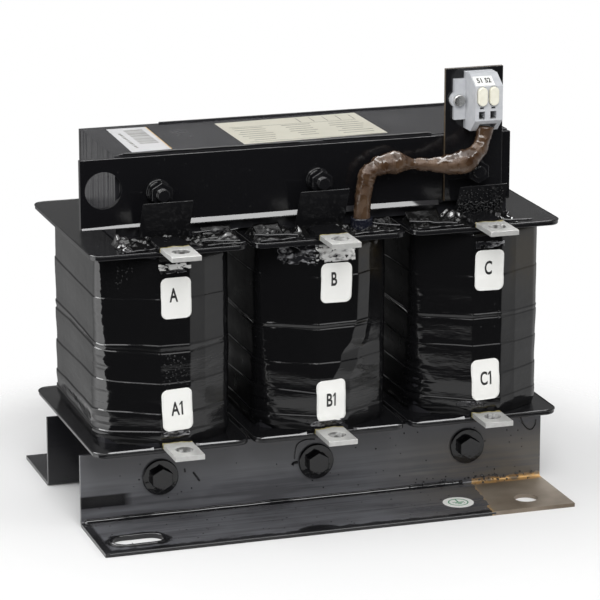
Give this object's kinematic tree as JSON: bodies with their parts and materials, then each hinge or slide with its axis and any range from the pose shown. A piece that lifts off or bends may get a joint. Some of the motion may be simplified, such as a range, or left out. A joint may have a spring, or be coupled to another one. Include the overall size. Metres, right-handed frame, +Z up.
{
  "type": "detuned filter reactor",
  "caption": "Three-phase iron-core filter reactor on two foot angles, with tape-wrapped coils, flat terminals, clamp bars and a small push-button terminal block.",
  "frame": {"origin": "on the floor plane under the middle of the core, halfway between the two foot angles", "axes": "+X along the core from phase A to phase C, -Y towards the terminals, +Z up"},
  "size_m": [0.24, 0.1632, 0.216],
  "materials": {
    "core_steel": "gloss",
    "glass_epoxy": "satin",
    "former_plastic": "gloss",
    "winding_copper": "satin",
    "varnished_tape": "gloss",
    "tinned_copper": "satin",
    "varnished_board": "gloss",
    "varnished_steel": "gloss",
    "fastener_steel": "gloss",
    "block_plastic": "satin",
    "button_plastic": "satin",
    "zinc_steel": "satin",
    "contact_brass": "satin",
    "switch_plastic": "satin",
    "sleeve_plastic": "gloss"
  },
  "bodies": {
    "base": {"block_screw": "zinc_steel", "block_screw_nut": "zinc_steel", "bolt_sleeves": "glass_epoxy", "clamp_nuts": "fastener_steel", "clamp_springs": "zinc_steel", "coil_former_a": "former_plastic", "coil_former_b": "former_plastic", "coil_former_c": "former_plastic", "coil_wrap_a": "varnished_tape", "coil_wrap_b": "varnished_tape", "coil_wrap_c": "varnished_tape", "current_bars": "contact_brass", "front_clamp_bar": "varnished_steel", "front_foot_angle": "varnished_steel", "front_insulation_strip": "varnished_board", "gap_spacer_mid_a": "glass_epoxy", "gap_spacer_mid_b": "glass_epoxy", "gap_spacer_mid_c": "glass_epoxy", "gap_spacer_top_a": "glass_epoxy", "gap_spacer_top_b": "glass_epoxy", "gap_spacer_top_c": "glass_epoxy", "insulation_flap_a": "varnished_board", "insulation_flap_b": "varnished_board", "insulation_flap_c": "varnished_board", "leg_lower_a": "core_steel", "leg_lower_b": "core_steel", "leg_lower_c": "core_steel", "leg_upper_a": "core_steel", "leg_upper_b": "core_steel", "leg_upper_c": "core_steel", "lower_clamp_bolts": "fastener_steel", "lower_yoke": "core_steel", "plain_washers": "fastener_steel", "rear_clamp_bar": "varnished_steel", "rear_foot_angle": "varnished_steel", "rear_insulation_strip": "varnished_board", "sensor_sleeve": "sleeve_plastic", "sleeve_tie": "varnished_tape", "spring_washers": "fastener_steel", "terminal_a": "tinned_copper", "terminal_a1": "tinned_copper", "terminal_b": "tinned_copper", "terminal_b1": "tinned_copper", "terminal_block_housing": "block_plastic", "terminal_bracket": "varnished_steel", "terminal_c": "tinned_copper", "terminal_c1": "tinned_copper", "thermal_switch": "switch_plastic", "upper_clamp_bolts": "fastener_steel", "upper_yoke": "core_steel", "wide_washers": "fastener_steel", "winding_a": "winding_copper", "winding_b": "winding_copper", "winding_c": "winding_copper"},
    "button_1": {"clamp_button_1": "button_plastic"},
    "button_2": {"clamp_button_2": "button_plastic"}
  },
  "joints": [
    {"name": "press_button_1", "type": "slide", "parent": "base", "child": "button_1", "axis": [0, 1, 0], "range_m": [0, 0.0015], "stiffness_N_per_m": 8000, "springref_m": -0.0004},
    {"name": "press_button_2", "type": "slide", "parent": "base", "child": "button_2", "axis": [0, 1, 0], "range_m": [0, 0.0015], "stiffness_N_per_m": 8000, "springref_m": -0.0004}
  ]
}
